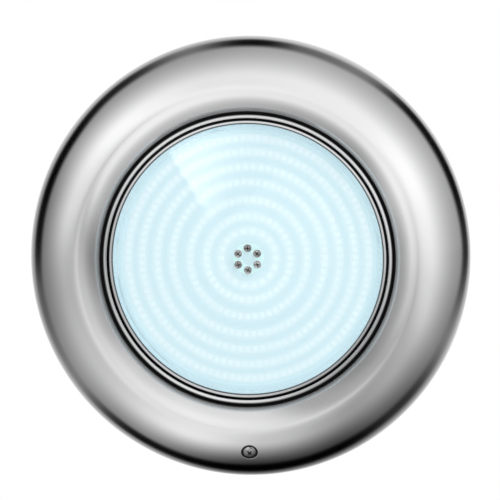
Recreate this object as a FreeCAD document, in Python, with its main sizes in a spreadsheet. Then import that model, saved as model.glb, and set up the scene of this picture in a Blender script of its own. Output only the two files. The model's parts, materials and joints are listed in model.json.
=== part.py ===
"""Round underwater pool light that hangs on a wall bracket, as a parametric assembly in millimetres.

The lamp is drawn lying on its back: X to the right, Y up the wall and Z out of the wall, so every
height is a distance from the wall. STAND_UP then turns each piece so that +Z is up and the light
shines towards -Y. The origin is the middle of the bracket's back face, on the wall.
"""
import FreeCAD, Part
import math
import os
import re

import Sketcher

# ---------------------------------------------------------------- driving dimensions
DIMENSIONS = {
    # face ring: a spun stainless dome with a rolled bead round the window
    "rim_radius": 145, "crown_radius": 116, "crown_height": 50, "rim_height": 4,
    "ring_gauge": 1, "lip_radius": 137, "lip_height": 2,
    "groove_radius": 97.3, "groove_height": 35, "groove_floor": 33.4,
    "bead_outer": 95.9, "bead_inner": 92.6, "bead_spring": 35.4, "bead_foot": 32.4,
    # window stack
    "cover_radius": 90.6, "cover_back": 30.5, "cover_thickness": 4,
    "seat_inner": 86, "seal_inner": 87.2, "seal_outer": 89.6, "seal_depth": 1.2,
    "lens_seal_inner": 88.9, "lens_seal_height": 0.6,
    "clamp_lip": 89.7, "clamp_bore": 90.9, "clamp_outer": 91.8, "clamp_flange": 96.2,
    "clamp_top": 36.1, "clamp_sheet": 1.1,
    "clamp_screw_count": 12, "clamp_screw_circle": 94.1,
    # lamp body
    "flange_radius": 97.5, "flange_back": 25.8, "flange_front": 28.8,
    "body_front_radius": 92, "body_back_radius": 88, "body_back": 10, "body_floor": 3,
    "cavity_radius": 80, "ledge_radius": 84.5, "hub_inner": 12.2, "hub_outer": 17.8,
    # light engine
    "plate_back": 22.1, "plate_thickness": 3, "plate_radius": 84.2,
    "pad_thickness": 0.5, "board_thickness": 1.6, "board_radius": 84,
    "chip_length": 3.5, "chip_width": 2.8, "chip_height": 0.8,
    "spacer_inner": 4.6, "spacer_outer": 10, "boss_radius": 10.6, "boss_depth": 2.6,
    # centre screws
    "centre_circle": 7.25, "centre_count": 6, "centre_head": 2.65, "centre_head_height": 1.9,
    "centre_shank": 1.5, "centre_seal_height": 0.5, "centre_end": 20.3, "thread_gap": 0.05,
    # straps that hold the ring to the body
    "strap_inner": 92.6, "strap_outer": 141, "strap_gauge": 1.5, "strap_width": 14,
    "strap_knee": 99.4, "strap_ankle": 127, "strap_screw_circle": 95, "strap_count": 4,
    # lock screw, drawn from a point on its own axis behind the ring
    "lock_radius": 126.6, "lock_depth": 50, "lock_bore": 5.35, "lock_head": 4.4,
    "lock_shank": 2.5, "lock_tip": 2.5, "lock_floor_top": 46.4, "lock_floor_back": 45,
    "lock_travel": 8, "washer_radius": 4.2, "washer_thickness": 1.2, "running_gap": 0.05,
    "insert_collar": 6.5, "insert_radius": 4, "insert_seat": 6, "insert_start": 1.5, "insert_end": 10.5,
    # wall bracket
    "bracket_gauge": 2, "bracket_width": 60, "bracket_hole_x": 40, "bracket_hole_y": 140,
    "wall_hole": 2.75, "cable_hole": 14, "slot_up": 101.5, "slot_height": 9,
    "slot_width": 24, "slot_gap": 2.8, "tongue_reach": 9,
    # hook
    "hook_gauge": 2, "hook_width": 22, "hook_leg": 95.5, "hook_foot_end": 107,
    "lug_back": 21.8, "lug_width": 28, "lug_start": 89, "lug_end": 108.5,
    "hook_screw_up": 102.5, "hook_screw_spread": 13,
    # cable gland
    "cable_bore": 4.2, "gland_thread": 8, "gland_flat_radius": 10.5, "gland_flange_height": 3,
    "gland_nut_end": 1.2, "lock_nut_height": 3.2,
    # driver
    "driver_length": 52, "driver_width": 34, "driver_left": 24, "driver_back": 15,
    "driver_thickness": 1.6,
    # depths of the blind threads in the body, and of the leads' way through its hub
    "lug_thread_depth": 3.4, "standoff_thread_depth": 2.8, "notch_depth": 4,
}
LED_RINGS = [  # radius of each ring of chips and how many it holds
    (18.1, 18), (27.7, 36), (38.6, 51), (50.1, 66), (60.2, 75), (70.1, 93), (79.3, 102),
]
THROUGH_SHEET = "6"  # length of a cut, half each way, that goes right through a sheet

doc = FreeCAD.newDocument("pool_light")
sheet = doc.addObject("Spreadsheet::Sheet", "Sizes")


def fill_sheet():
    """Gives every driving dimension a cell with its own alias."""
    cells = dict(DIMENSIONS)
    for number, (radius, count) in enumerate(LED_RINGS, start=1):
        cells[f"led_radius_{number}"] = radius
        cells[f"led_count_{number}"] = count
    for row, (alias, number) in enumerate(cells.items(), start=1):
        sheet.set(f"A{row}", alias)
        sheet.set(f"B{row}", str(number))
        sheet.setAlias(f"B{row}", alias)
    doc.recompute()
    return set(cells)


ALIASES = fill_sheet()


def bound(expression):
    """The expression with each alias written as a cell of the sheet."""
    def cell(word):
        return "Sizes." + word.group(0) if word.group(0) in ALIASES else word.group(0)
    return re.sub(r"[a-z][a-z0-9_]*", cell, str(expression))


def size(expression):
    """The expression's value as the sheet has it now."""
    return float(sheet.evalExpression(bound(expression)))


# ---------------------------------------------------------------- places
def lock_slope():
    """Angle of the dome's flank, in degrees, where the lock screw goes through it."""
    reach = size("rim_radius - crown_radius")
    rise = size("crown_height - rim_height")
    share = size("lock_radius - crown_radius") / reach
    return math.degrees(math.atan(rise / reach * share / math.sqrt(1 - share * share)))


def lock_height():
    """Height of the dome's outer face there."""
    reach = size("rim_radius - crown_radius")
    share = size("lock_radius - crown_radius") / reach
    return size("rim_height") + size("crown_height - rim_height") * math.sqrt(1 - share * share)


TILT = lock_slope()
ALONG_UP, ALONG_OUT = -math.sin(math.radians(TILT)), math.cos(math.radians(TILT))
LOCK_UP = -size("lock_radius") - ALONG_UP * size("lock_depth")
LOCK_OUT = lock_height() - ALONG_OUT * size("lock_depth")
STAND_UP = FreeCAD.Placement(FreeCAD.Vector(), FreeCAD.Rotation(FreeCAD.Vector(1, 0, 0), 90))
OBLIQUE = FreeCAD.Rotation(FreeCAD.Vector(1, 0, 0), TILT)
LOCK_AXIS = FreeCAD.Placement(FreeCAD.Vector(0, LOCK_UP, LOCK_OUT), OBLIQUE)


# ---------------------------------------------------------------- drawing helpers
nodes = []


def keep(piece, label, place=None):
    """Names a finished piece, stands it up on the wall and puts it on the list."""
    piece.Label = label
    piece.Placement = STAND_UP.multiply(place) if place else STAND_UP
    nodes.append(piece)
    return piece


def new_body(name):
    body = doc.addObject("PartDesign::Body", name)
    body.AllowCompound = True
    return body


def origin_part(body, role):
    return next(part for part in body.Origin.OriginFeatures if part.Role == role)


def new_sketch(body, name, role, offset=None):
    sketch = body.newObject("Sketcher::SketchObject", name)
    sketch.AttachmentSupport = [(origin_part(body, role), "")]
    sketch.MapMode = "FlatFace"
    if offset:
        sketch.AttachmentOffset = offset
    return sketch


def pin(sketch, geometry, point, across, along):
    """Ties a point of the sketch to two expressions, measured from the sketch's origin."""
    for kind, expression in (("DistanceX", across), ("DistanceY", along)):
        number = sketch.addConstraint(
            Sketcher.Constraint(kind, -1, 1, geometry, point, size(expression)))
        sketch.setExpression(f"Constraints[{number}]", bound(expression))


def quarter(start, corner, end):
    """A quarter of an ellipse from start to end that is tangent to both lines to the corner."""
    curve = Part.BSplineCurve()
    curve.buildFromPolesMultsKnots(
        [start, corner, end], [3, 3], [0, 1], False, 2, [1, math.sqrt(0.5), 1])
    return curve


def outline(sketch, corners):
    """Draws a closed outline through the corners. A corner with a third entry, "round", isn't
    passed: it is where the tangents of a quarter ellipse between its neighbours meet."""
    places = [FreeCAD.Vector(size(c[0]), size(c[1]), 0) for c in corners]
    passed = [k for k, c in enumerate(corners) if len(c) == 2]
    first = sketch.GeometryCount
    for spot, k in enumerate(passed):
        following = passed[(spot + 1) % len(passed)]
        if (k + 1) % len(corners) == following:
            sketch.addGeometry(Part.LineSegment(places[k], places[following]), False)
        else:
            sketch.addGeometry(quarter(places[k], places[k + 1], places[following]), False)
    for spot, k in enumerate(passed):
        follower = first + (spot + 1) % len(passed)
        sketch.addConstraint(Sketcher.Constraint("Coincident", first + spot, 2, follower, 1))
        pin(sketch, first + spot, 1, corners[k][0], corners[k][1])


def circle(sketch, across, along, radius):
    """Draws a circle whose centre and radius are tied to the sheet."""
    centre = FreeCAD.Vector(size(across), size(along), 0)
    number = sketch.addGeometry(
        Part.Circle(centre, FreeCAD.Vector(0, 0, 1), size(radius)), False)
    pin(sketch, number, 3, across, along)
    tie = sketch.addConstraint(Sketcher.Constraint("Radius", number, size(radius)))
    sketch.setExpression(f"Constraints[{tie}]", bound(radius))


def rectangle(sketch, left, low, right, high):
    outline(sketch, [(left, low), (right, low), (right, high), (left, high)])


def revolve(body, sketch, axis, kind="Revolution"):
    feature = body.newObject("PartDesign::" + kind, kind.lower())
    feature.Profile = sketch
    feature.ReferenceAxis = axis
    feature.Angle = 360
    sketch.Visibility = False
    return feature


def around(body, feature, count, name="around"):
    """Repeats a feature evenly about the lamp's axis."""
    pattern = body.newObject("PartDesign::PolarPattern", name)
    pattern.Originals = [feature]
    pattern.Axis = (origin_part(body, "Z_Axis"), [""])
    pattern.Angle = 360
    pattern.setExpression("Occurrences", bound(count))
    body.Tip = pattern
    return pattern


def turned(label, corners, place=None):
    """A piece turned about its own Z axis: corners are (radius, height) pairs."""
    body = new_body(label)
    sketch = new_sketch(body, label + "_section", "XZ_Plane")
    outline(sketch, corners)
    revolve(body, sketch, (sketch, ["V_Axis"]))
    doc.recompute()
    return keep(body, label, place)


def turned_set(label, corners, circle_radius, count, turn="0"):
    """Equal turned pieces standing on a circle: corners are measured from each one's axis."""
    body = new_body(label)
    sketch = new_sketch(body, label + "_section", "XZ_Plane")
    outline(sketch, [(f"{circle_radius} + {c[0]}", *c[1:]) for c in corners])
    low, high = size(corners[0][1]), size(corners[-1][1])
    top = FreeCAD.Vector(size(circle_radius), max(high, low + 1), 0)
    line = Part.LineSegment(FreeCAD.Vector(size(circle_radius), low, 0), top)
    number = sketch.addGeometry(line, True)
    pin(sketch, number, 1, circle_radius, corners[0][1])
    pin(sketch, number, 2, circle_radius, str(top.y))
    piece = revolve(body, sketch, (sketch, ["Axis0"]))
    doc.recompute()
    around(body, piece, count)
    doc.recompute()
    spin = FreeCAD.Rotation(FreeCAD.Vector(0, 0, 1), size(turn))
    return keep(body, label, FreeCAD.Placement(FreeCAD.Vector(), spin))


def pad(body, sketch, length, offset=None, midplane=False, kind="Pad"):
    feature = body.newObject("PartDesign::" + kind, kind.lower())
    feature.Profile = sketch
    feature.setExpression("Length", bound(length))
    feature.Midplane = midplane
    sketch.Visibility = False
    return feature


def disc(label, radius, low, thickness, holes=()):
    """A flat round plate with sets of holes: each is (circle, hole radius, count, turn)."""
    body = new_body(label)
    sketch = new_sketch(body, label + "_edge", "XY_Plane", lift(low))
    circle(sketch, "0", "0", radius)
    pad(body, sketch, thickness)
    doc.recompute()
    for number, (reach, hole, count, turn) in enumerate(holes, start=1):
        drill(body, f"{label}_hole_{number}", reach, hole, count, turn, low, thickness)
    return keep(body, label)


def lift(height):
    return FreeCAD.Placement(FreeCAD.Vector(0, 0, size(height)), FreeCAD.Rotation())


def drill(body, name, reach, hole, count, turn, low, depth):
    """Cuts a hole, or a circle of holes, forward from the height low, and checks that it cut."""
    doc.recompute()
    before = body.Shape.Volume
    sketch = new_sketch(body, name, "XY_Plane", lift(low))
    angle = math.radians(size(turn))
    across = f"({reach}) * {math.cos(angle):.9f}"
    along = f"({reach}) * {math.sin(angle):.9f}"
    circle(sketch, across, along, hole)
    cut = pad(body, sketch, depth, kind="Pocket")
    cut.Reversed = True
    body.Tip = cut
    doc.recompute()
    if size(count) > 1:
        around(body, cut, count, name + "_around")
        doc.recompute()
    assert body.Shape.Volume < before - 0.1, name + " cut nothing"


def cut_both_ways(body, name, role, offset, draw, length=THROUGH_SHEET):
    """Cuts a drawn shape both ways from its plane, and checks that it cut."""
    doc.recompute()
    before = body.Shape.Volume
    sketch = new_sketch(body, name, role, offset)
    draw(sketch)
    cut = pad(body, sketch, length, midplane=True, kind="Pocket")
    body.Tip = cut
    doc.recompute()
    assert body.Shape.Volume < before - 0.1, name + " cut nothing"


# ---------------------------------------------------------------- face ring and what holds it
def face_ring():
    """Polished half-round dome with a rear lip, a groove and a rolled bead round the window."""
    body = new_body("face_ring")
    sketch = new_sketch(body, "face_ring_section", "XZ_Plane")
    middle = "(bead_outer + bead_inner) / 2"
    bead_top = "bead_spring + (bead_outer - bead_inner) / 2"
    inside = "crown_height - ring_gauge"
    outline(sketch, [
        ("lip_radius", "lip_height"),
        ("rim_radius", "lip_height"),
        ("rim_radius", "rim_height"),
        ("rim_radius", "crown_height", "round"),
        ("crown_radius", "crown_height"),
        ("groove_radius", "crown_height", "round"),
        ("groove_radius", "groove_height"),
        ("groove_radius", "groove_floor"),
        ("bead_outer", "groove_floor"),
        ("bead_outer", "bead_spring"),
        ("bead_outer", bead_top, "round"),
        (middle, bead_top),
        ("bead_inner", bead_top, "round"),
        ("bead_inner", "bead_spring"),
        ("bead_inner", "bead_foot"),
        ("groove_radius + ring_gauge", "bead_foot"),
        ("groove_radius + ring_gauge", "groove_height"),
        ("groove_radius + ring_gauge", inside, "round"),
        ("crown_radius", inside),
        ("rim_radius - ring_gauge", inside, "round"),
        ("rim_radius - ring_gauge", "rim_height"),
        ("rim_radius - ring_gauge", "lip_height + ring_gauge"),
        ("lip_radius", "lip_height + ring_gauge"),
    ])
    revolve(body, sketch, (sketch, ["V_Axis"]))
    across_dome = FreeCAD.Placement(
        FreeCAD.Vector(0, -size("lock_radius"), lock_height()), OBLIQUE)
    cut_both_ways(body, "lock_screw_hole", "XY_Plane", across_dome,
                  lambda plan: circle(plan, "0", "0", "lock_bore + 0.02"))
    return keep(body, "face_ring")


def ring_straps():
    """Bent steel straps, welded on the ring's rear lip and screwed behind the body's flange."""
    body = new_body("ring_straps")
    sketch = new_sketch(body, "strap_side", "XZ_Plane")
    seat = "lip_height + ring_gauge"
    outline(sketch, [
        ("strap_inner", "flange_back - strap_gauge"),
        ("strap_knee - 0.8", "flange_back - strap_gauge"),
        ("strap_ankle - 0.8", seat),
        ("strap_outer", seat),
        ("strap_outer", f"{seat} + strap_gauge"),
        ("strap_ankle", f"{seat} + strap_gauge"),
        ("strap_knee", "flange_back"),
        ("strap_inner", "flange_back"),
    ])
    strap = pad(body, sketch, "strap_width", midplane=True)
    doc.recompute()
    drilled = new_sketch(body, "strap_screw_hole", "XY_Plane", lift("flange_back"))
    circle(drilled, "strap_screw_circle", "0", "centre_shank + thread_gap")
    hole = pad(body, drilled, "2 * strap_gauge", kind="Pocket")
    doc.recompute()
    pattern = body.newObject("PartDesign::PolarPattern", "straps_around")
    pattern.Originals = [strap, hole]
    pattern.Axis = (origin_part(body, "Z_Axis"), [""])
    pattern.Angle = 360
    pattern.setExpression("Occurrences", bound("strap_count"))
    body.Tip = pattern
    doc.recompute()
    eighth = FreeCAD.Rotation(FreeCAD.Vector(0, 0, 1), 45)
    return keep(body, "ring_straps", FreeCAD.Placement(FreeCAD.Vector(), eighth))


def strap_screws():
    """Pan head screws, from behind, through the straps into the body's flange."""
    face = "flange_back - strap_gauge"
    return turned_set("strap_screws", [
        ("0", f"{face} - 1.8"), ("2.4", f"{face} - 1.8"), ("2.8", f"{face} - 1"), ("2.8", face),
        ("centre_shank", face), ("centre_shank", "flange_back + 2.4"),
        ("0", "flange_back + 2.4"),
    ], "strap_screw_circle", "strap_count", "45")


def screw_ferrule():
    """Cup pressed into the dome: the lock screw's head sits in it."""
    return turned("screw_ferrule", [
        ("lock_shank + 0.25", "lock_floor_back"), ("lock_bore", "lock_floor_back"),
        ("lock_bore", "lock_depth - 0.6"), ("lock_bore - 0.4", "lock_depth - 0.6"),
        ("lock_bore - 0.4", "lock_floor_top"), ("lock_shank + 0.25", "lock_floor_top"),
    ], LOCK_AXIS)


def lock_screw():
    """Long domed screw: its head is in the dome, its end in the bracket's threaded bush."""
    body = new_body("lock_screw")
    sketch = new_sketch(body, "lock_screw_section", "XZ_Plane")
    head_seat = "lock_floor_top + 0.2"
    outline(sketch, [
        ("0", "lock_tip"), ("lock_shank - 0.6", "lock_tip"), ("lock_shank", "lock_tip + 0.8"),
        ("lock_shank", head_seat), ("lock_head", head_seat), ("lock_head", "lock_depth - 1.1"),
        ("lock_head", "lock_depth + 0.5", "round"), ("0", "lock_depth + 0.5"),
    ])
    revolve(body, sketch, (sketch, ["V_Axis"]))
    recess = lift("lock_depth + 0.5")
    for name, long_way, short_way in (("slot_across", "2.3", "0.5"), ("slot_along", "0.5", "2.3")):
        cut_both_ways(body, name, "XY_Plane", recess,
                      lambda plan: rectangle(plan, "-" + long_way, "-" + short_way,
                                             long_way, short_way), "3.2")
    return keep(body, "lock_screw", LOCK_AXIS)


def captive_washer():
    """Nylon washer on the shank that stops the undone screw from falling out of the ring."""
    top = "lock_floor_back - lock_travel - 0.3"
    return turned("captive_washer", [
        ("lock_shank + running_gap", f"{top} - washer_thickness"),
        ("washer_radius", f"{top} - washer_thickness"), ("washer_radius", top),
        ("lock_shank + running_gap", top),
    ], LOCK_AXIS)


# ---------------------------------------------------------------- wall bracket
def oblique(up, out, ahead, above):
    """Expressions for the point that lies ahead along the screw and above it, from (up, out)."""
    sine, cosine = f"sin({TILT:.9f})", f"cos({TILT:.9f})"
    return (f"{up:.6f} - ({ahead}) * {sine} + ({above}) * {cosine}",
            f"{out:.6f} + ({ahead}) * {cosine} + ({above}) * {sine}")


def at_height(up, out, ahead, height):
    """Where the plane that lies ahead along the screw meets a height above the wall."""
    sine, cosine = math.sin(math.radians(TILT)), math.cos(math.radians(TILT))
    above = (height - out - ahead * cosine) / sine
    return (f"{up - ahead * sine + above * cosine:.6f}", f"{height:.6f}")


def wall_bracket():
    """Steel strip with both ends bent square to the lock screw: a slotted tongue at the top for
    the hook and one at the bottom for the threaded bush."""
    body = new_body("wall_bracket")
    side = new_sketch(body, "bracket_side", "YZ_Plane")
    gauge, seat = size("bracket_gauge"), size("insert_seat")
    slot = (size("slot_up"), size("slot_height"))
    low = (LOCK_UP, LOCK_OUT)
    outline(side, [
        at_height(*low, seat, 0),
        at_height(*slot, -gauge / 2, 0),
        oblique(*slot, "-bracket_gauge / 2", "tongue_reach"),
        oblique(*slot, "bracket_gauge / 2", "tongue_reach"),
        at_height(*slot, gauge / 2, gauge),
        at_height(*low, seat - gauge, gauge),
        oblique(*low, "insert_seat - bracket_gauge", "tongue_reach"),
        oblique(*low, "insert_seat", "tongue_reach"),
    ])
    pad(body, side, "bracket_width", midplane=True)
    doc.recompute()
    cut_both_ways(body, "cable_way", "XY_Plane", None,
                  lambda plan: circle(plan, "0", "0", "cable_hole"))

    def wall_holes(plan):
        for across in ("bracket_hole_x / 2", "-bracket_hole_x / 2"):
            for along in ("bracket_hole_y / 2", "-bracket_hole_y / 2"):
                circle(plan, across, along, "wall_hole")
    cut_both_ways(body, "wall_holes", "XY_Plane", None, wall_holes)
    at_slot = FreeCAD.Placement(FreeCAD.Vector(0, *slot), OBLIQUE)
    cut_both_ways(body, "hook_slot", "XY_Plane", at_slot,
                  lambda plan: rectangle(plan, "-slot_width / 2", "-slot_gap / 2",
                                         "slot_width / 2", "slot_gap / 2"))
    cut_both_ways(body, "bush_hole", "XY_Plane", LOCK_AXIS.multiply(lift("insert_seat - 1")),
                  lambda plan: circle(plan, "0", "0", "insert_radius"))
    return keep(body, "wall_bracket")


def threaded_bush():
    """Brass bush in the bracket's lower tongue, which the lock screw screws into."""
    return turned("threaded_bush", [
        ("lock_shank + running_gap", "insert_start"), ("insert_radius", "insert_start"),
        ("insert_radius", "insert_seat"), ("insert_collar", "insert_seat"),
        ("insert_collar", "insert_end - 0.8"),
        ("insert_collar - 0.8", "insert_end"), ("lock_shank + running_gap", "insert_end"),
    ], LOCK_AXIS)


# ---------------------------------------------------------------- hook
def hook_tab():
    """Bent plate behind the body's top lug whose end lies in the bracket's slot."""
    body = new_body("hook_tab")
    side = new_sketch(body, "hook_side", "YZ_Plane")
    slot = (size("slot_up"), size("slot_height"))
    back, front = size("-hook_gauge / 2"), size("hook_gauge / 2")
    sine, cosine = math.sin(math.radians(TILT)), math.cos(math.radians(TILT))

    def on_leg(above, up):
        """Point of the oblique leg's face at this distance up the wall."""
        ahead = (slot[0] + above * cosine - up) / sine
        return (f"{up:.6f}", f"{slot[1] + ahead * cosine + above * sine:.6f}")
    leg = size("hook_leg")
    outline(side, [
        oblique(*slot, "-6", "-hook_gauge / 2"),
        on_leg(back, leg),
        ("hook_leg", "lug_back"),
        ("hook_foot_end", "lug_back"),
        ("hook_foot_end", "lug_back - hook_gauge"),
        ("hook_leg + hook_gauge", "lug_back - hook_gauge"),
        on_leg(front, leg + 2 * front),
        oblique(*slot, "-6", "hook_gauge / 2"),
    ])
    pad(body, side, "hook_width", midplane=True)
    doc.recompute()

    def screw_holes(plan):
        for across in ("hook_screw_spread / 2", "-hook_screw_spread / 2"):
            circle(plan, across, "hook_screw_up", "centre_shank + thread_gap")
    cut_both_ways(body, "hook_holes", "XY_Plane", lift("lug_back - 1"), screw_holes)
    return keep(body, "hook_tab")


def hook_screws():
    """Two pan head screws that hold the hook to the body's lug."""
    body = new_body("hook_screws")
    sketch = new_sketch(body, "hook_screw_section", "XZ_Plane", FreeCAD.Placement(
        FreeCAD.Vector(0, 0, -size("hook_screw_up")), FreeCAD.Rotation()))
    face = "lug_back - hook_gauge"
    axis = "hook_screw_spread / 2"
    corners = [
        ("0", f"{face} - 1.8"), ("2.4", f"{face} - 1.8"), ("2.8", f"{face} - 1"), ("2.8", face),
        ("centre_shank", face), ("centre_shank", "lug_back + 3.2"), ("0", "lug_back + 3.2"),
    ]
    outline(sketch, [(f"{axis} + {c[0]}", c[1]) for c in corners])
    number = sketch.addGeometry(Part.LineSegment(
        FreeCAD.Vector(size(axis), 0, 0), FreeCAD.Vector(size(axis), 10, 0)), True)
    pin(sketch, number, 1, axis, "0")
    pin(sketch, number, 2, axis, "10")
    screw = revolve(body, sketch, (sketch, ["Axis0"]))
    doc.recompute()
    pair = body.newObject("PartDesign::Mirrored", "pair")
    pair.Originals = [screw]
    pair.MirrorPlane = (origin_part(body, "YZ_Plane"), [""])
    body.Tip = pair
    doc.recompute()
    return keep(body, "hook_screws")


# ---------------------------------------------------------------- lamp body
def lamp_body():
    """Moulded cup: flange, seat for the window, ledge for the heat plate, hub and hook lug."""
    body = new_body("lamp_body")
    sketch = new_sketch(body, "body_section", "XZ_Plane")
    floor = "body_back + body_floor"
    outline(sketch, [
        ("gland_thread + thread_gap", "body_back"),
        ("body_back_radius - 3", "body_back"),
        ("body_back_radius", "body_back", "round"),
        ("body_back_radius", "body_back + 3"),
        ("body_front_radius", "flange_back"),
        ("flange_radius", "flange_back"),
        ("flange_radius", "flange_front"),
        ("cover_radius", "flange_front"),
        ("cover_radius", "cover_back"),
        ("seal_outer", "cover_back"),
        ("seal_outer", "cover_back - seal_depth"),
        ("seal_inner", "cover_back - seal_depth"),
        ("seal_inner", "cover_back"),
        ("seat_inner", "cover_back"),
        ("ledge_radius", "cover_back - 1.5"),
        ("ledge_radius", "plate_back"),
        ("cavity_radius", "plate_back"),
        ("cavity_radius", floor),
        ("hub_outer", floor),
        ("hub_outer", "plate_back"),
        ("hub_inner", "plate_back"),
        ("hub_inner", floor),
        ("gland_thread + thread_gap", floor),
    ])
    revolve(body, sketch, (sketch, ["V_Axis"]))
    doc.recompute()
    lug = new_sketch(body, "hook_lug", "XY_Plane", lift("lug_back"))
    rectangle(lug, "-lug_width / 2", "lug_start", "lug_width / 2", "lug_end")
    pad(body, lug, "flange_front - lug_back")
    standoffs = new_sketch(body, "driver_standoffs", "XY_Plane", lift("body_back + 1"))
    for across in driver_screw_places():
        circle(standoffs, across[0], across[1], "3")
    pad(body, standoffs, "driver_back - body_back - 1")
    doc.recompute()
    hole = "centre_shank + thread_gap"
    drill(body, "strap_threads", "strap_screw_circle", hole, "strap_count", "45",
          "flange_back - 0.5", "3.1")
    drill(body, "clamp_threads", "clamp_screw_circle", "1.05", "clamp_screw_count", "0",
          "flange_front - 2.4", "4")

    def lug_threads(plan):
        for across in ("hook_screw_spread / 2", "-hook_screw_spread / 2"):
            circle(plan, across, "hook_screw_up", hole)
    cut_both_ways(body, "lug_threads", "XY_Plane", lift("lug_back"), lug_threads,
                  "2 * lug_thread_depth")

    def standoff_threads(plan):
        for across in driver_screw_places():
            circle(plan, across[0], across[1], "1.05")
    cut_both_ways(body, "standoff_threads", "XY_Plane", lift("driver_back"), standoff_threads,
                  "2 * standoff_thread_depth")

    def lead_notch(plan):
        rectangle(plan, "hub_inner - 1", "-3", "hub_outer + 1", "3")
    cut_both_ways(body, "lead_notch", "XY_Plane", lift("plate_back"), lead_notch, "2 * notch_depth")
    return keep(body, "lamp_body")


def driver_screw_places():
    """Centres of the driver board's four corner screws."""
    left, right = "driver_left + 3.5", "driver_left + driver_length - 3.5"
    high, low = "driver_width / 2 - 3.5", "3.5 - driver_width / 2"
    return [(left, high), (left, low), (right, high), (right, low)]


# ---------------------------------------------------------------- window
def window():
    """Clear front cover, its seals and the ring that clamps it to the body."""
    front = "cover_back + cover_thickness"
    hole = ("centre_circle", "centre_shank + 0.1", "centre_count", "90")
    turned("cover_seal", [
        ("seal_inner + 0.05", "cover_back - seal_depth"),
        ("seal_outer - 0.05", "cover_back - seal_depth"),
        ("seal_outer - 0.05", "cover_back"), ("seal_inner + 0.05", "cover_back"),
    ])
    disc("front_cover", "cover_radius", "cover_back", "cover_thickness", [hole])
    turned("lens_seal", [
        ("lens_seal_inner", front), ("cover_radius", front),
        ("cover_radius", f"{front} + lens_seal_height"),
        ("lens_seal_inner", f"{front} + lens_seal_height"),
    ])
    clamp = turned("lens_clamp_ring", [
        ("clamp_lip", f"{front} + lens_seal_height"),
        ("clamp_bore", f"{front} + lens_seal_height"), ("clamp_bore", "flange_front"),
        ("clamp_flange", "flange_front"), ("clamp_flange", "flange_front + clamp_sheet"),
        ("clamp_outer", "flange_front + clamp_sheet"), ("clamp_outer", "clamp_top - 0.4"),
        ("clamp_outer", "clamp_top", "round"), ("clamp_outer - 0.4", "clamp_top"),
        ("clamp_lip + 0.3", "clamp_top"), ("clamp_lip", "clamp_top - 0.3"),
    ])
    drill(clamp, "clamp_holes", "clamp_screw_circle", "1.05", "clamp_screw_count", "0",
          "flange_front - 0.5", "3")
    face = "flange_front + clamp_sheet"
    turned_set("clamp_ring_screws", [
        ("0", "flange_front - 2"), ("1", "flange_front - 2"), ("1", face), ("1.9", face),
        ("1.9", f"{face} + 1"), ("1.4", f"{face} + 1.6"), ("0", f"{face} + 1.6"),
    ], "clamp_screw_circle", "clamp_screw_count", "0")


def centre_screws():
    """Pan head screws through the cover's middle into the heat plate, each on its own seal."""
    seat = "cover_back + cover_thickness + centre_seal_height"
    turned_set("centre_screws", [
        ("0", "centre_end"), ("centre_shank", "centre_end"), ("centre_shank", seat),
        ("centre_head", seat), ("centre_head", f"{seat} + 0.8"),
        ("centre_head", f"{seat} + centre_head_height", "round"),
        ("0.9", f"{seat} + centre_head_height"), ("0.9", f"{seat} + 0.7"),
        ("0", f"{seat} + 0.7"),
    ], "centre_circle", "centre_count", "90")
    face = "cover_back + cover_thickness"
    turned_set("centre_screw_seals", [
        ("centre_shank + thread_gap", face), ("centre_head + 0.1", face),
        ("centre_head + 0.1", seat), ("centre_shank + thread_gap", seat),
    ], "centre_circle", "centre_count", "90")


# ---------------------------------------------------------------- light engine
def light_engine():
    """Heat plate with a boss that takes the centre screws, thermal pad, round LED board, its
    rings of chips and the centre spacer."""
    pad_back = "plate_back + plate_thickness"
    board_back = f"{pad_back} + pad_thickness"
    board_front = f"{board_back} + board_thickness"
    screws = ("centre_circle", "centre_shank + 0.1", "centre_count", "90")
    leads = ("driver_left + driver_length - 6", "2", "1", "0")
    plate = turned("heat_plate", [
        ("0", "plate_back - boss_depth"), ("boss_radius", "plate_back - boss_depth"),
        ("boss_radius", "plate_back"), ("plate_radius", "plate_back"),
        ("plate_radius", pad_back), ("0", pad_back),
    ])
    drill(plate, "centre_threads", "centre_circle", "centre_shank + thread_gap", "centre_count",
          "90", "centre_end - 0.3", "8")
    drill(plate, "lead_hole", *leads, "plate_back - 1", "plate_thickness + 2")
    disc("thermal_pad", "board_radius", pad_back, "pad_thickness", [screws, leads])
    disc("led_board", "board_radius", board_back, "board_thickness", [screws])
    spacer = turned("centre_spacer", [
        ("spacer_inner", board_front), ("spacer_outer", board_front),
        ("spacer_outer", "cover_back"), ("spacer_inner", "cover_back"),
    ])
    drill(spacer, "spacer_holes", "centre_circle", "centre_shank + 0.1", "centre_count", "90",
          board_front, "6")
    for number in range(1, len(LED_RINGS) + 1):
        led_ring(number, board_front)
    return board_back


def led_ring(number, board_front):
    """One ring of surface-mounted LED chips."""
    body = new_body(f"led_ring_{number}")
    chip = body.newObject("PartDesign::AdditiveBox", "chip")
    chip.AttachmentSupport = [(origin_part(body, "XY_Plane"), "")]
    chip.MapMode = "FlatFace"
    for side, cell in (("Length", "chip_length"), ("Width", "chip_width"),
                       ("Height", "chip_height")):
        chip.setExpression(side, bound(cell))
    offset = "AttachmentOffset.Base."
    chip.setExpression(offset + "x", bound(f"led_radius_{number} - chip_length / 2"))
    chip.setExpression(offset + "y", bound("-chip_width / 2"))
    chip.setExpression(offset + "z", bound(board_front))
    doc.recompute()
    around(body, chip, f"led_count_{number}")
    doc.recompute()
    return keep(body, f"led_ring_{number}")


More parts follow.
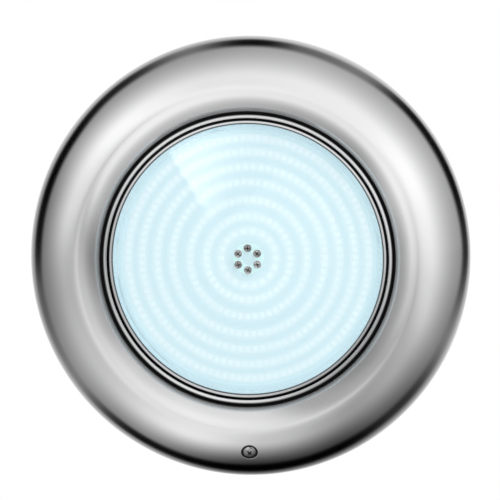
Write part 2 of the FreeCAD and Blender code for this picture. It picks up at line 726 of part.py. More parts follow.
# ---------------------------------------------------------------- driver
def box(label, left, low, base, length, width, height):
    """A plain block with its near corner at (left, low) and its foot at base."""
    block = doc.addObject("Part::Box", label)
    for side, expression in (("Length", length), ("Width", width), ("Height", height)):
        block.setExpression(side, bound(expression))
    corner = FreeCAD.Vector(size(left), size(low), size(base))
    return keep(block, label, FreeCAD.Placement(corner, FreeCAD.Rotation()))


def driver():
    """Constant-current driver in the cavity beside the hub."""
    top = "driver_back + driver_thickness"
    body = new_body("driver_board")
    plan = new_sketch(body, "driver_edge", "XY_Plane", lift("driver_back"))
    rectangle(plan, "driver_left", "-driver_width / 2",
              "driver_left + driver_length", "driver_width / 2")
    pad(body, plan, "driver_thickness")
    doc.recompute()

    def corner_holes(holes):
        for across, along in driver_screw_places():
            circle(holes, across, along, "1.1")
    cut_both_ways(body, "driver_holes", "XY_Plane", lift("driver_back"), corner_holes)
    keep(body, "driver_board")

    screws = new_body("driver_screws")
    shanks = new_sketch(screws, "driver_shanks", "XY_Plane", lift("driver_back - 2"))
    heads = new_sketch(screws, "driver_heads", "XY_Plane", lift(top))
    for across, along in driver_screw_places():
        circle(shanks, across, along, "1")
        circle(heads, across, along, "1.9")
    pad(screws, shanks, "2 + driver_thickness")
    doc.recompute()
    pad(screws, heads, "1.4")
    doc.recompute()
    keep(screws, "driver_screws")

    box("bridge_rectifier", "driver_left + 8", "-8", top, "6.5", "9", "2.6")
    box("inductor", "driver_left + 19", "-12", top, "12", "12", "4.8")
    box("driver_chip", "driver_left + 22", "4", top, "5", "4", "1.6")
    box("terminal_block", "driver_left + 1", "2.5", top, "6", "8", "4.6")
    cans = new_body("capacitors")
    can = new_sketch(cans, "capacitor_section", "XZ_Plane", FreeCAD.Placement(
        FreeCAD.Vector(0, 0, 10), FreeCAD.Rotation()))
    axis = "driver_left + 38"
    outline(can, [(axis, top), (f"{axis} + 3.15", top), (f"{axis} + 3.15", f"{top} + 4.6"),
                  (f"{axis} + 2.8", f"{top} + 5"), (axis, f"{top} + 5")])
    number = can.addGeometry(Part.LineSegment(
        FreeCAD.Vector(size(axis), 0, 0), FreeCAD.Vector(size(axis), 10, 0)), True)
    pin(can, number, 1, axis, "0")
    pin(can, number, 2, axis, "10")
    first = revolve(cans, can, (can, ["Axis0"]))
    doc.recompute()
    row = cans.newObject("PartDesign::LinearPattern", "row")
    row.Originals = [first]
    row.Direction = (origin_part(cans, "Y_Axis"), [""])
    row.Length = 14.6
    row.Occurrences = 3
    cans.Tip = row
    doc.recompute()
    keep(cans, "capacitors")


def led_leads(board_back):
    """Two short leads from the driver up to the back of the LED board."""
    body = new_body("led_leads")
    base = "driver_back + driver_thickness"
    plan = new_sketch(body, "lead_ends", "XY_Plane", lift(base))
    for along in ("-0.9", "0.9"):
        circle(plan, "driver_left + driver_length - 6", along, "0.75")
    pad(body, plan, f"{board_back} - ({base})")
    doc.recompute()
    return keep(body, "led_leads")


# ---------------------------------------------------------------- cable gland
def hexagon_cut(label, flat_radius, low, height, bore):
    """A hexagonal collar with a round bore."""
    body = new_body(label)
    sketch = new_sketch(body, label + "_plan", "XY_Plane", lift(low))
    corners = []
    for side in range(6):
        angle = math.radians(60 * side)
        reach = f"({flat_radius}) / cos(30)"
        corners.append((f"{reach} * {math.cos(angle):.9f}", f"{reach} * {math.sin(angle):.9f}"))
    outline(sketch, corners)
    circle(sketch, "0", "0", bore)
    pad(body, sketch, height)
    doc.recompute()
    return body


def cable_gland():
    """Gland through the body's floor, with its seal ring, lock nut, cable seal and dome nut."""
    flange = "body_back - 0.8 - gland_flange_height"
    body = hexagon_cut("gland_body", "gland_flat_radius", flange, "gland_flange_height",
                       "cable_bore")
    shank = new_sketch(body, "gland_shank", "XZ_Plane")
    outline(shank, [
        ("cable_bore", flange), ("cable_bore + 2.4", flange),
        ("cable_bore + 2.4", f"{flange} - 1.6"), ("gland_thread", f"{flange} - 1.6"),
        ("gland_thread", "body_back + body_floor + lock_nut_height + 0.4"),
        ("cable_bore", "body_back + body_floor + lock_nut_height + 0.4"),
    ])
    revolve(body, shank, (shank, ["V_Axis"]))
    doc.recompute()
    keep(body, "gland_body")
    turned("gland_o_ring", [
        ("gland_thread + 0.1", "body_back - 0.8"), ("gland_flat_radius - 0.6", "body_back - 0.8"),
        ("gland_flat_radius - 0.6", "body_back"), ("gland_thread + 0.1", "body_back"),
    ])
    keep(hexagon_cut("gland_lock_nut", "gland_flat_radius - 0.4", "body_back + body_floor",
                     "lock_nut_height", "gland_thread + thread_gap"), "gland_lock_nut")
    turned("gland_seal", [
        ("cable_bore", "gland_nut_end + 1.2"), ("cable_bore + 2.3", "gland_nut_end + 1.2"),
        ("cable_bore + 2.3", flange), ("cable_bore", flange),
    ])
    turned("gland_nut", [
        ("cable_bore", "gland_nut_end"), ("gland_flat_radius - 3", "gland_nut_end"),
        ("gland_flat_radius", "gland_nut_end", "round"),
        ("gland_flat_radius", "gland_nut_end + 3"),
        ("gland_flat_radius", f"{flange} - 0.1"), ("gland_thread + thread_gap", f"{flange} - 0.1"),
        ("gland_thread + thread_gap", f"{flange} - 1.7"),
        ("cable_bore + 2.4", f"{flange} - 1.7"), ("cable_bore + 2.4", "gland_nut_end + 1.15"),
        ("cable_bore", "gland_nut_end + 1.15"),
    ])


# ---------------------------------------------------------------- build, check and export
def build():
    face_ring()
    ring_straps()
    strap_screws()
    screw_ferrule()
    lock_screw()
    captive_washer()
    wall_bracket()
    threaded_bush()
    hook_tab()
    hook_screws()
    lamp_body()
    window()
    centre_screws()
    board_back = light_engine()
    driver()
    led_leads(board_back)
    cable_gland()
    doc.recompute()


def check():
    """Stops if any object failed, or any piece isn't made of whole, valid solids."""
    for item in doc.Objects:
        bad = [state for state in item.State if state in ("Invalid", "Error")]
        assert not bad, f"{item.Label}: {bad}"
    for piece in nodes:
        shape = piece.Shape
        assert not shape.isNull() and shape.isValid() and shape.Solids, piece.Label
        assert all(solid.Volume > 0 for solid in shape.Solids), piece.Label


def export():
    os.makedirs("parts", exist_ok=True)
    for piece in nodes:
        piece.Shape.exportStep(f"parts/{piece.Label}.step")
        print(f"{piece.Label:20s} solids {len(piece.Shape.Solids):4d}"
              f"  volume {piece.Shape.Volume:10.1f} mm3")
    print(f"tilt {TILT:.4f} deg, lock axis foot up {LOCK_UP:.4f} out {LOCK_OUT:.4f}")


build()
check()
export()
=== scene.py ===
"""Looks of the wall-hung pool light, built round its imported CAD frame.

Metres, +Z up, face to -Y."""
import json
import math

import bmesh
import bpy
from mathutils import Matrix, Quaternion, Vector

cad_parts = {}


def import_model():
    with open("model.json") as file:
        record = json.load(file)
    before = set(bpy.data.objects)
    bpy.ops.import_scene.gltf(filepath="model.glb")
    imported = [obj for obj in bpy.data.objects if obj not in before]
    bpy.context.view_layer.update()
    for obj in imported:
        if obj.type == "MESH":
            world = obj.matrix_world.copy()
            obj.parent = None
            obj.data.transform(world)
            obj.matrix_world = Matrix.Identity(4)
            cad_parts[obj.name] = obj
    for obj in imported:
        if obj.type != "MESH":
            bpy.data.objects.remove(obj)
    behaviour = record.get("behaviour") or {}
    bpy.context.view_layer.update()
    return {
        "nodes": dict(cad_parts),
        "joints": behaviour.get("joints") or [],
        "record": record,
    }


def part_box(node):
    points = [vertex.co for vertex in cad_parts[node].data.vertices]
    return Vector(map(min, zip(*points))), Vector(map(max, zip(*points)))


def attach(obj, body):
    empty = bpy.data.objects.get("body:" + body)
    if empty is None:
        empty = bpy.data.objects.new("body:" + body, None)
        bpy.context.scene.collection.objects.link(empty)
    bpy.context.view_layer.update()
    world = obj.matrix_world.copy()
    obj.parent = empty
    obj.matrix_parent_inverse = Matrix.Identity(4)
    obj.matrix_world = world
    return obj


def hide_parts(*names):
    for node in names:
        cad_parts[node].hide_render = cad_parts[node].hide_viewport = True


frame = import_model()
MM = 0.001

# ---------------------------------------------------------------- places read from the frame
JOINTS = {joint["name"]: joint for joint in frame["joints"]}
SCREW_OUT = Vector(JOINTS["lamp_draw_off"]["axis"])          # the lock screw's way out of the ring
SCREW_FOOT = Vector(JOINTS["lock_screw_turn"]["pos_m"])
SCREW_ACROSS = Vector((1, 0, 0))
SCREW_UP = SCREW_OUT.cross(SCREW_ACROSS)
RING_LOW, RING_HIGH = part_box("face_ring")
RIM = RING_HIGH.x                                            # outer radius of the dome
CROWN_HEIGHT = -RING_LOW.y
LIP_HEIGHT = -RING_HIGH.y

# the dome's section: a long quarter ellipse outside the crown and a short one inside it
CROWN = 116 * MM
RIM_HEIGHT = 4 * MM
GAUGE = 1 * MM
LIP = 137 * MM
GROOVE, GROOVE_HEIGHT, GROOVE_FLOOR = 97.3 * MM, 35 * MM, 33.4 * MM
BEAD_OUTER, BEAD_INNER = 95.9 * MM, 92.6 * MM
BEAD_SPRING, BEAD_FOOT = 35.4 * MM, 32.4 * MM
FLANK_STEPS = 60                                             # rows of the long flank

# radii between which painted shade fades: up the groove's flank, over the bead from inside with a
# highlight line left on its crest, and at the clamp ring's wall; and at the lamp body's rim, with
# the depths between which its painted glow ends
FLANK_LOW, FLANK_HIGH = (97.1 * MM, 97.8 * MM), (98.5 * MM, 101 * MM)
BEAD_RISE, BEAD_FALL = (92.1 * MM, 92.9 * MM), (93.9 * MM, 95.7 * MM)
BEAD_END = (96.0 * MM, 96.2 * MM)
TRIM_DARK, CUP_RIM = (90.8 * MM, 91.3 * MM), (89.6 * MM, 89.7 * MM)
CUP_FRONT = (-25 * MM, -24.5 * MM)
HOLLOW_FADE, HOLLOW_START = (98.2 * MM, 101.5 * MM), (96.3 * MM, 96.6 * MM)

CHIP_LENGTH, CHIP_WIDTH = 3.5 * MM, 2.8 * MM

# the lock screw, measured along its axis from SCREW_FOOT
SCREW_SURFACE = 50 * MM
HOLE, HOLE_LIP = 5.37 * MM, 0.35 * MM
SHANK, THREAD_PITCH = 2.5 * MM, 0.8 * MM
HEAD, HEAD_SEAT, HEAD_EDGE, HEAD_TOP = 4.4 * MM, 46.6 * MM, 49 * MM, 50.5 * MM
TIP, THREAD_END, THREAD_RUNOUT = 2.5 * MM, 14 * MM, 1 * MM


# ---------------------------------------------------------------- mesh helpers
def new_mesh(name, vertices, faces, sharp_degrees=35):
    """A smooth-shaded object whose edges sharper than the given angle stay crisp."""
    mesh = bpy.data.meshes.new(name)
    mesh.from_pydata([tuple(v) for v in vertices], [], faces)
    mesh.validate()
    tidy = bmesh.new()
    tidy.from_mesh(mesh)
    bmesh.ops.recalc_face_normals(tidy, faces=tidy.faces)
    tidy.to_mesh(mesh)
    tidy.free()
    crisp(mesh, sharp_degrees)
    piece = bpy.data.objects.new(name, mesh)
    bpy.context.scene.collection.objects.link(piece)
    return piece


def crisp(mesh, degrees=35):
    """Smooth shading, with the edges sharper than the given angle left crisp."""
    mesh.shade_smooth()
    mesh.set_sharp_from_angle(angle=math.radians(degrees))


def on_lamp_axis(radius, height, angle):
    """Point of the row frame at a radius and height above the wall, at an angle round the lamp."""
    return Vector((radius * math.cos(angle), -height, radius * math.sin(angle)))


def on_screw_axis(radius, height, angle):
    """The same round the lock screw's oblique axis, with heights from SCREW_FOOT."""
    return (SCREW_FOOT + SCREW_OUT * height + SCREW_ACROSS * (radius * math.cos(angle))
            + SCREW_UP * (radius * math.sin(angle)))


def arc(centre, radii, start, end, steps):
    """Points of an ellipse arc, both ends included. Angles in degrees from the radius axis."""
    points = []
    for step in range(steps + 1):
        angle = math.radians(start + (end - start) * step / steps)
        points.append((centre[0] + radii[0] * math.cos(angle),
                       centre[1] + radii[1] * math.sin(angle)))
    return points


def lathe(name, section, segments, place=on_lamp_axis, closed=True):
    """Turns a section of (radius, height) points. A closed section makes a ring; an open one
    must start and end on the axis."""
    vertices, rows = [], []
    for radius, height in section:
        if radius < 1e-9:
            rows.append([len(vertices)])
            vertices.append(place(0, height, 0))
        else:
            rows.append(list(range(len(vertices), len(vertices) + segments)))
            vertices += [place(radius, height, math.tau * k / segments) for k in range(segments)]
    faces = []
    count = len(rows) if closed else len(rows) - 1
    for row in range(count):
        here, there = rows[row], rows[(row + 1) % len(rows)]
        for k in range(segments):
            after = (k + 1) % segments
            corners = [here[k % len(here)], here[after % len(here)],
                       there[after % len(there)], there[k % len(there)]]
            distinct = list(dict.fromkeys(corners))
            if len(distinct) > 2:
                faces.append(distinct)
    return new_mesh(name, vertices, faces)


def join(name, pieces):
    """Joins pieces into one object."""
    for piece in pieces[1:]:
        piece.data.materials.clear()
    with bpy.context.temp_override(active_object=pieces[0], selected_editable_objects=pieces):
        bpy.ops.object.join()
    pieces[0].name = name
    pieces[0].data.name = name
    return pieces[0]


def subtract(piece, cutter):
    """Cuts the cutter out of the piece and removes the cutter."""
    cut = piece.modifiers.new("cut", "BOOLEAN")
    cut.object = cutter
    cut.operation = "DIFFERENCE"
    cut.solver = "EXACT"
    apply_modifiers(piece)
    bpy.data.objects.remove(cutter)


def apply_modifiers(piece):
    """Makes what the modifiers show the piece's own mesh."""
    graph = bpy.context.evaluated_depsgraph_get()
    mesh = bpy.data.meshes.new_from_object(piece.evaluated_get(graph))
    piece.modifiers.clear()
    old = piece.data
    piece.data = mesh
    bpy.data.meshes.remove(old)


def wear(piece, body, node, material):
    """Puts a finished piece on its body in place of a CAD node."""
    piece.data.materials.clear()
    piece.data.materials.append(material)
    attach(piece, body)
    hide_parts(node)
    return piece


# ---------------------------------------------------------------- node helpers
class Graph:
    """Short forms for building a node tree."""

    def __init__(self, tree):
        self.tree = tree
        tree.nodes.clear()

    def add(self, kind, settings=None, **inputs):
        node = self.tree.nodes.new(kind)
        for name, setting in (settings or {}).items():
            setattr(node, name, setting)
        for name, source in inputs.items():
            self.feed(node, name.replace("_", " "), source)
        return node

    def feed(self, node, name, source):
        socket = node.inputs[int(name[1:])] if name[0] == "i" and name[1:].isdigit() \
            else node.inputs[name]
        if isinstance(source, bpy.types.NodeSocket):
            self.tree.links.new(source, socket)
        else:
            socket.default_value = source

    def math(self, operation, *values):
        node = self.add("ShaderNodeMath", {"operation": operation})
        for number, value in enumerate(values):
            self.feed(node, f"i{number}", value)
        return node.outputs[0]

    def ramp(self, value, low, high, start=0.0, end=1.0):
        """A smooth step of the value from start to end between low and high."""
        node = self.add("ShaderNodeMapRange", {"interpolation_type": "SMOOTHSTEP"},
                        Value=value, From_Min=low, From_Max=high, To_Min=start, To_Max=end)
        return node.outputs[0]

    def mix(self, factor, first, second):
        node = self.add("ShaderNodeMix", {"data_type": "RGBA"})
        self.feed(node, "i0", factor)
        self.feed(node, "i6", first)
        self.feed(node, "i7", second)
        return node.outputs[2]


def colour(red, green, blue):
    return (red, green, blue, 1.0)


def new_material(name):
    material = bpy.data.materials.new(name)
    material.use_nodes = True
    return material, Graph(material.node_tree)


def finish_material(graph, colour_source, roughness, normal=None, **sockets):
    """Ends a material in one Principled shader."""
    shader = graph.add("ShaderNodeBsdfPrincipled")
    graph.feed(shader, "Base Color", colour_source)
    graph.feed(shader, "Roughness", roughness)
    if normal:
        graph.feed(shader, "Normal", normal)
    for name, value in sockets.items():
        graph.feed(shader, name.replace("_", " "), value)
    graph.add("ShaderNodeOutputMaterial", Surface=shader.outputs[0])


def noise(graph, vector, scale, detail=3.0, roughness=0.5):
    node = graph.add("ShaderNodeTexNoise", Vector=vector, Scale=scale, Detail=detail,
                     Roughness=roughness)
    return node.outputs["Fac"]


def bump(graph, height, strength, distance):
    node = graph.add("ShaderNodeBump", Height=height, Strength=strength, Distance=distance)
    return node.outputs[0]


def turned_coordinates(graph):
    """Radius, angle and height round the lamp's axis as a vector, for circular tool marks."""
    place = graph.add("ShaderNodeTexCoord").outputs["Object"]
    split = graph.add("ShaderNodeSeparateXYZ", Vector=place)
    across, ahead, up = split.outputs
    radius = graph.math("SQRT", graph.math("ADD", graph.math("MULTIPLY", across, across),
                                           graph.math("MULTIPLY", up, up)))
    angle = graph.math("ARCTAN2", up, across)
    return graph.add("ShaderNodeCombineXYZ", X=radius, Y=graph.math("MULTIPLY", angle, 0.002),
                     Z=ahead).outputs[0], radius


def off_screw_axis(graph, place):
    """Distance of a point from the lock screw's axis."""
    away = graph.add("ShaderNodeVectorMath", {"operation": "SUBTRACT"}, i0=place,
                     i1=tuple(SCREW_FOOT)).outputs[0]
    across = graph.add("ShaderNodeVectorMath", {"operation": "CROSS_PRODUCT"}, i0=away,
                       i1=tuple(SCREW_OUT)).outputs[0]
    return graph.add("ShaderNodeVectorMath", {"operation": "LENGTH"}, i0=across).outputs["Value"]


def painted_shade_mask(graph, radius, place):
    """Painted shade mask, 0 where the ring is darkened: the groove, the bead's sides, the screw
    hole; a narrow highlight line stays bright on the bead's crest.
    """
    flank = graph.math("ADD", graph.ramp(radius, *FLANK_LOW, 0.02, 0.72),
                       graph.ramp(radius, *FLANK_HIGH, 0.0, 0.28))
    bead = graph.math("MULTIPLY", graph.ramp(radius, *BEAD_RISE, 0.04, 1.0),
                      graph.ramp(radius, *BEAD_FALL, 1.0, 0.10))
    bead = graph.math("MULTIPLY", bead, graph.ramp(radius, *BEAD_END, 1.0, 0.0))
    hole = graph.ramp(off_screw_axis(graph, place), HOLE, HOLE + 0.3 * MM, 0.03, 1.0)
    return graph.math("MULTIPLY", graph.math("MAXIMUM", flank, bead), hole)


def polished_steel():
    """Mirror-polished spun stainless: faint circular polishing marks and slow haze, with painted
    shade in the groove, on the bead's sides and round the screw hole.
    """
    material, graph = new_material("polished_steel")
    spun, radius = turned_coordinates(graph)
    marks = noise(graph, spun, 900, 2)
    place = graph.add("ShaderNodeTexCoord").outputs["Object"]
    haze = noise(graph, place, 14, 3)
    roughness = graph.math("ADD", graph.ramp(haze, 0.3, 0.7, 0.13, 0.17),
                           graph.math("MULTIPLY", marks, 0.02))
    tangent = graph.add("ShaderNodeTangent", {"direction_type": "RADIAL", "axis": "Y"})
    tint = graph.mix(graph.ramp(haze, 0.35, 0.65), colour(0.86, 0.86, 0.865),
                     colour(0.88, 0.88, 0.885))
    unshaded = painted_shade_mask(graph, radius, place)
    # painted shade: near black in the groove, up the flank's foot, on the bead's sides and round
    # the screw hole
    tint = graph.mix(unshaded, colour(0.012, 0.012, 0.013), tint)
    hollow = graph.ramp(radius, *HOLLOW_FADE, 0.55, 0.0)
    hollow = graph.math("MULTIPLY", hollow, graph.ramp(radius, *HOLLOW_START))
    dull = graph.ramp(unshaded, 0.03, 0.2, 0.5, 0.0)
    roughness = graph.math("ADD", roughness, graph.math("MAXIMUM", hollow, dull))
    finish_material(graph, tint, roughness, bump(graph, marks, 0.02, 0.0001), Metallic=1.0,
                    Anisotropic=0.55, Tangent=tangent.outputs[0])
    return material


def brushed_steel(name, shade, along=(1, 1, 12), grain=420):
    """Rolled stainless sheet with a straight grain."""
    material, graph = new_material(name)
    place = graph.add("ShaderNodeTexCoord").outputs["Object"]
    stretched = graph.add("ShaderNodeMapping", Vector=place,
                          Scale=tuple(1 / s for s in along)).outputs[0]
    lines = noise(graph, stretched, grain, 4)
    stain = noise(graph, place, 35, 4)
    tint = graph.mix(graph.ramp(stain, 0.35, 0.7), colour(shade, shade, shade * 1.01),
                     colour(shade * 0.82, shade * 0.82, shade * 0.81))
    roughness = graph.ramp(lines, 0.25, 0.75, 0.26, 0.42)
    finish_material(graph, tint, roughness, bump(graph, lines, 0.08, 0.0002), Metallic=1.0)
    return material


def screw_steel():
    """Turned stainless screws, with painted shade in their recesses and under their heads."""
    material, graph = new_material("screw_steel")
    place = graph.add("ShaderNodeTexCoord").outputs["Object"]
    fine, stain = noise(graph, place, 900, 4), noise(graph, place, 260, 3)
    tint = graph.mix(graph.ramp(stain, 0.38, 0.62), colour(0.66, 0.66, 0.67),
                     colour(0.36, 0.36, 0.36))
    # painted shade: ambient occlusion darkens the recesses and under the heads
    open_share = graph.add("ShaderNodeAmbientOcclusion", Distance=1.4 * MM).outputs["AO"]
    tint = graph.mix(graph.ramp(open_share, 0.35, 0.9), colour(0.03, 0.03, 0.03), tint)
    finish_material(graph, tint, graph.ramp(fine, 0.25, 0.75, 0.2, 0.34),
                    bump(graph, fine, 0.1, 0.0002), Metallic=1.0)
    return material


def moulded(name, tint, gloss=0.35, grain=900, depth=0.06, **sockets):
    """Moulded plastic or rubber: fine skin, slow shade drift."""
    material, graph = new_material(name)
    place = graph.add("ShaderNodeTexCoord").outputs["Object"]
    skin = noise(graph, place, grain, 3)
    drift = noise(graph, place, 25, 2)
    darker = colour(*(c * 0.9 for c in tint))
    skin_tint = graph.mix(graph.ramp(drift, 0.3, 0.7), colour(*tint), darker)
    roughness = graph.ramp(skin, 0.3, 0.7, gloss - 0.04, gloss + 0.06)
    finish_material(graph, skin_tint, roughness, bump(graph, skin, depth, 0.0002), **sockets)
    return material


def plated(name, tint, gloss=0.22):
    """Turned and plated or bare metal."""
    material, graph = new_material(name)
    place = graph.add("ShaderNodeTexCoord").outputs["Object"]
    cloud = noise(graph, place, 120, 3)
    metal = graph.mix(graph.ramp(cloud, 0.3, 0.7), colour(*tint),
                      colour(*(c * 0.85 for c in tint)))
    finish_material(graph, metal, graph.ramp(cloud, 0.3, 0.7, gloss, gloss + 0.1),
                    bump(graph, cloud, 0.04, 0.0002), Metallic=1.0)
    return material


def clear_cover():
    """Clear polycarbonate with a faint milky cyan body: most of what is behind it shows."""
    material, graph = new_material("clear_cover")
    place = graph.add("ShaderNodeTexCoord").outputs["Object"]
    flow = noise(graph, place, 18, 2)
    milk = graph.mix(graph.ramp(flow, 0.3, 0.7), colour(0.66, 0.87, 0.94),
                     colour(0.67, 0.88, 0.945))
    finish_material(graph, milk, 0.06, IOR=1.58, Alpha=0.3)
    return material


def led_board():
    """White solder mask, with a painted glow of the chips' light in a soft band under each ring of
    chips.
    """
    material, graph = new_material("board_white")
    _, radius = turned_coordinates(graph)
    place = graph.add("ShaderNodeTexCoord").outputs["Object"]
    grain = noise(graph, place, 700, 2)
    # painted light: soft bands of glow round each ring of chips stand in for their light on the
    # board
    painted_glow_bands = 0.0
    for ring in led_radii():
        away = graph.math("ABSOLUTE", graph.math("SUBTRACT", radius, ring))
        painted_glow_bands = graph.math("ADD", painted_glow_bands, graph.ramp(away, 0.8 * MM, 5 * MM, 1.0, 0.0))
    painted_glow_bands = graph.math("MINIMUM", painted_glow_bands, 1.0)
    mask = graph.mix(painted_glow_bands, colour(0.15, 0.18, 0.19), colour(0.17, 0.19, 0.20))
    lit = graph.mix(painted_glow_bands, colour(0.555, 0.69, 0.735), colour(0.70, 0.79, 0.80))
    finish_material(graph, mask, graph.ramp(grain, 0.3, 0.7, 0.4, 0.5),
                    bump(graph, grain, 0.05, 0.0001), Emission_Color=lit, Emission_Strength=1.0)
    return material


def lit_plastic(name, tint, glow, strength):
    """Pale plastic with a painted glow standing in for the chips' light through it; the chips
    themselves use it for their own light.
    """
    material, graph = new_material(name)
    place = graph.add("ShaderNodeTexCoord").outputs["Object"]
    skin, drift = noise(graph, place, 700, 3), noise(graph, place, 60, 2)
    body = graph.mix(graph.ramp(drift, 0.3, 0.7), colour(*tint),
                     colour(*(c * 0.93 for c in tint)))
    light = graph.mix(graph.ramp(drift, 0.3, 0.7), colour(*glow),
                      colour(*(c * 0.96 for c in glow)))
    finish_material(graph, body, graph.ramp(skin, 0.3, 0.7, 0.3, 0.4),
                    bump(graph, skin, 0.05, 0.0001), Emission_Color=light,
                    Emission_Strength=strength)
    return material


def lit_body():
    """The moulded white body, darker in the rim of it that the cover shows, with a painted glow
    there standing in for the chips' light.
    """
    material, graph = new_material("white_body_lit")
    place = graph.add("ShaderNodeTexCoord").outputs["Object"]
    _, radius = turned_coordinates(graph)
    _, ahead, _ = graph.add("ShaderNodeSeparateXYZ", Vector=place).outputs
    skin, drift = noise(graph, place, 900, 3), noise(graph, place, 25, 2)
    inside = graph.math("MULTIPLY", graph.ramp(radius, *CUP_RIM, 1.0, 0.0),
                        graph.ramp(ahead, *CUP_FRONT, 1.0, 0.0))
    tint = graph.mix(graph.ramp(drift, 0.3, 0.7), colour(0.83, 0.84, 0.84),
                     colour(0.75, 0.76, 0.76))
    # a darker base and a painted glow inside the rim stand in for the chips' light
    tint = graph.mix(inside, tint, colour(0.3, 0.36, 0.38))
    glow = graph.mix(inside, colour(0, 0, 0), colour(0.40, 0.52, 0.56))
    finish_material(graph, tint, graph.ramp(skin, 0.3, 0.7, 0.28, 0.38),
                    bump(graph, skin, 0.06, 0.0002), Emission_Color=glow, Emission_Strength=1.0)
    return material


def trim_steel():
    """Turned steel of the clamp ring, with painted shade where its wall drops into the gap under
    the bead.
    """
    material, graph = new_material("trim_steel")
    spun, radius = turned_coordinates(graph)
    marks = noise(graph, spun, 700, 2)
    tint = graph.mix(graph.ramp(marks, 0.3, 0.7), colour(0.74, 0.74, 0.75),
                     colour(0.68, 0.68, 0.69))
    # painted shade: near black on the clamp ring's wall in the gap under the bead
    tint = graph.mix(graph.ramp(radius, *TRIM_DARK, 1.0, 0.0),
                     colour(0.012, 0.012, 0.013), tint)
    finish_material(graph, tint, graph.ramp(marks, 0.3, 0.7, 0.2, 0.3),
                    bump(graph, marks, 0.04, 0.0001), Metallic=1.0)
    return material


def led_radii():
    """Radius of the middle of each ring of chips, from its box."""
    return [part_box(f"led_ring_{number}")[1].x - CHIP_LENGTH / 2 for number in range(1, 8)]


MATERIALS = {
    "polished_steel": polished_steel(),
    # near black: painted shade, as on the cup in which the lock screw's head sits
    "dark_steel": moulded("dark_steel", (0.006, 0.006, 0.006), 0.7),
    "bracket_steel": brushed_steel("bracket_steel", 0.62),
    "screw_steel": screw_steel(),
    "nylon": moulded("nylon", (0.80, 0.79, 0.74), 0.4),
    "brass": plated("brass", (0.75, 0.56, 0.27)),
    "white_body": moulded("white_body", (0.83, 0.84, 0.84), 0.32),
    "black_rubber": moulded("black_rubber", (0.025, 0.025, 0.027), 0.55, 1500, 0.15),
    "clear_cover": clear_cover(),
    "aluminium": brushed_steel("aluminium", 0.78, (8, 1, 1), 500),
    "grey_silicone": moulded("grey_silicone", (0.42, 0.44, 0.47), 0.7, 800),
    "board_white": led_board(),
    # the spacer's glow is painted light of the chips
    "spacer_white": lit_plastic("spacer_white", (0.16, 0.20, 0.20), (0.57, 0.81, 0.79), 1.0),
    "led_chip": lit_plastic("led_chip", (0.22, 0.23, 0.23), (0.78, 0.85, 0.86), 1.0),
    "board_green": moulded("board_green", (0.03, 0.22, 0.09), 0.35, 600),
    "black_plastic": moulded("black_plastic", (0.02, 0.02, 0.022), 0.45),
    "dark_ferrite": moulded("dark_ferrite", (0.06, 0.06, 0.065), 0.6, 1200, 0.2),
    "block_grey": moulded("block_grey", (0.32, 0.38, 0.40), 0.4),
    "lead_red": moulded("lead_red", (0.50, 0.03, 0.025), 0.3),
    "nickel_brass": plated("nickel_brass", (0.66, 0.64, 0.59)),
}

# nodes with a painted glow of the chips' light, which look unlike the rest of their slot
SPECIAL = {
    "cover_seal": lit_plastic("lit_silicone", (0.42, 0.50, 0.53), (0.36, 0.46, 0.50), 1.0),
    "lamp_body": lit_body(),
    "centre_screw_seals": lit_plastic("lit_washer", (0.55, 0.60, 0.60), (0.45, 0.50, 0.50), 1.0),
}


# ---------------------------------------------------------------- face ring
def ring_section():
    """The whole closed section, outside first, and the index where each long flank starts."""
    bead = (BEAD_OUTER - BEAD_INNER) / 2
    bead_middle = (BEAD_OUTER + BEAD_INNER) / 2
    edge = 0.3 * MM
    flank = (RIM - CROWN, CROWN_HEIGHT - RIM_HEIGHT)
    short = (CROWN - GROOVE, CROWN_HEIGHT - GROOVE_HEIGHT)
    thin = (flank[0] - GAUGE, flank[1] - GAUGE)
    short_thin = (short[0] - GAUGE, short[1] - GAUGE)
    section = [(LIP, LIP_HEIGHT)]
    section += arc((RIM - edge, LIP_HEIGHT + edge), (edge, edge), -90, 0, 4)
    outside = len(section)
    section += arc((CROWN, RIM_HEIGHT), flank, 0, 90, FLANK_STEPS)
    section += arc((CROWN, GROOVE_HEIGHT), short, 90, 180, 30)[1:]
    section += arc((GROOVE - edge, GROOVE_FLOOR + edge), (edge, edge), 0, -90, 4)
    section += arc((BEAD_OUTER + edge, GROOVE_FLOOR + edge), (edge, edge), -90, -180, 4)
    section += arc((bead_middle, BEAD_SPRING), (bead, bead), 0, 180, 14)
    section += [(BEAD_INNER, BEAD_FOOT), (GROOVE + GAUGE, BEAD_FOOT)]
    section += arc((CROWN, GROOVE_HEIGHT), short_thin, 180, 90, 14)
    inside = len(section)
    section += arc((CROWN, RIM_HEIGHT), thin, 90, 0, FLANK_STEPS)[1:]
    section += [(RIM - GAUGE, LIP_HEIGHT + GAUGE), (LIP, LIP_HEIGHT + GAUGE)]
    return section, outside, inside


def onto_flank(across, above, shrink):
    """Point of the outer or inner flank that lies over a place in the screw's cross plane."""
    base = SCREW_FOOT + SCREW_ACROSS * across + SCREW_UP * above
    reach, rise = RIM - CROWN - shrink, CROWN_HEIGHT - RIM_HEIGHT - shrink
    low, high = 0.030, 0.075
    for _ in range(50):
        middle = (low + high) / 2
        point = base + SCREW_OUT * middle
        radius = math.hypot(point.x, point.z)
        outside = ((radius - CROWN) / reach) ** 2 + ((-point.y - RIM_HEIGHT) / rise) ** 2 > 1
        low, high = (low, middle) if outside else (middle, high)
    return base + SCREW_OUT * low


